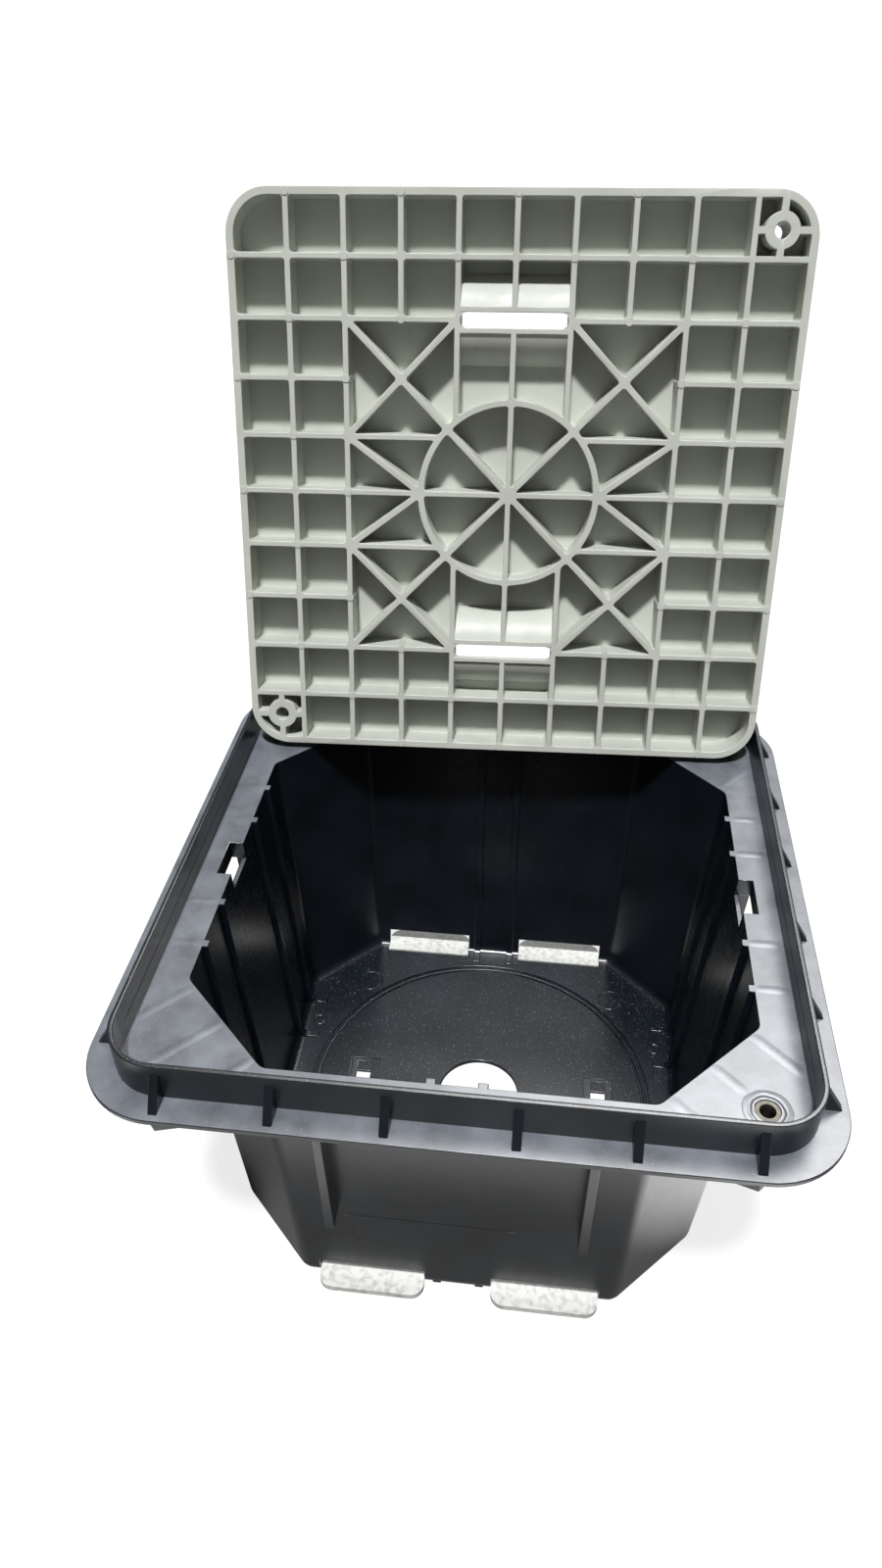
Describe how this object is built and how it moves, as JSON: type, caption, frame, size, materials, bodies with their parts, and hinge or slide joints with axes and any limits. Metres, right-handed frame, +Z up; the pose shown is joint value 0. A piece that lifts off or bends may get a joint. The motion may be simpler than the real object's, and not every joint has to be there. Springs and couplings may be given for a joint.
{
  "type": "earth pit cover",
  "caption": "Square inspection chamber in black moulded plastic with a ribbed underside cover stood open in its rim.",
  "frame": {"origin": "middle of the chamber's underside, on the ground", "axes": "+Z up out of the chamber, -Y to the front with the pair of feet that the picture shows, +X to the right"},
  "size_m": [0.368, 0.4175, 0.5347],
  "materials": {
    "chamber_plastic": "satin black injection moulded polypropylene, lightly scuffed and dusty",
    "cover_plastic": "light warm grey injection moulded polypropylene, matt",
    "insert_metal": "plain machined metal",
    "foot_plastic": "pale grey speckled moulded plastic, matt"
  },
  "bodies": {
    "root": {"chamber": "chamber_plastic", "cover": "cover_plastic", "insert_front_right": "insert_metal", "insert_back_left": "insert_metal", "foot_front_right": "foot_plastic", "foot_front_left": "foot_plastic", "foot_back_right": "foot_plastic", "foot_back_left": "foot_plastic"}
  },
  "joints": []
}
